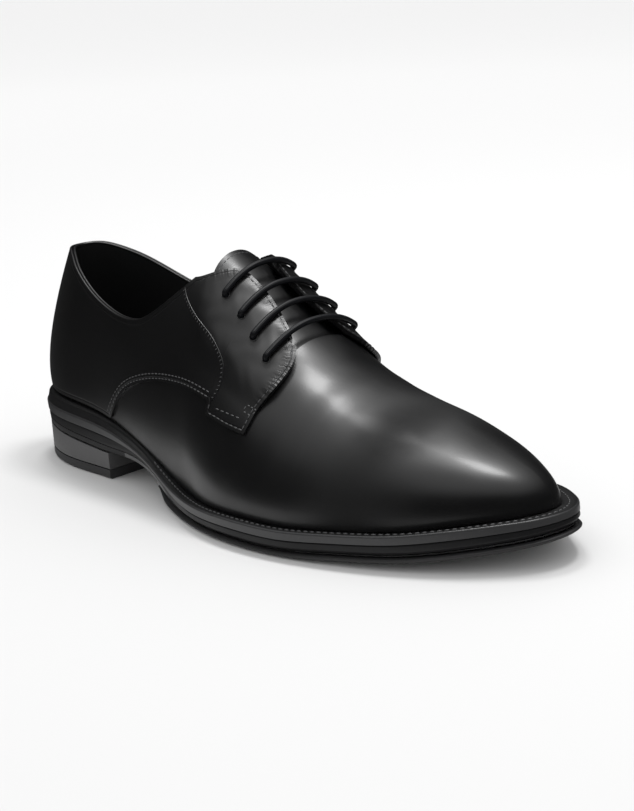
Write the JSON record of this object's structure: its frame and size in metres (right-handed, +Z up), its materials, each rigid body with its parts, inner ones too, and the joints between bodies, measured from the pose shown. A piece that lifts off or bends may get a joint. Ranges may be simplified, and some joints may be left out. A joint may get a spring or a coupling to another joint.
{
  "type": "derby shoe",
  "caption": "Low lace-up shoe with open-laced quarters over a plain vamp, a stitched welt, a layered sole and a stacked heel.",
  "frame": {"origin": "middle of the footprint's box at floor height, below the waist of the sole", "axes": "+X from heel to toe, +Z up, -Y towards the outer side of the right foot"},
  "size_m": [0.3, 0.1102, 0.1053],
  "materials": {
    "upper": "polished smooth",
    "tongue": "smooth",
    "back_tab": "smooth",
    "lace": "waxed cord",
    "welt": "burnished",
    "midsole": "burnished",
    "outsole": "burnished",
    "heel_stack": "satin",
    "insole": "matte",
    "forefoot_sole": "matte",
    "heel_top_piece": "matte"
  },
  "bodies": {
    "root": {"upper": "upper", "tongue": "tongue", "back_tab": "back_tab", "lace": "lace", "welt": "welt", "midsole": "midsole", "outsole": "outsole", "heel_stack": "heel_stack", "insole": "insole", "forefoot_sole": "forefoot_sole", "heel_top_piece": "heel_top_piece"}
  },
  "joints": []
}
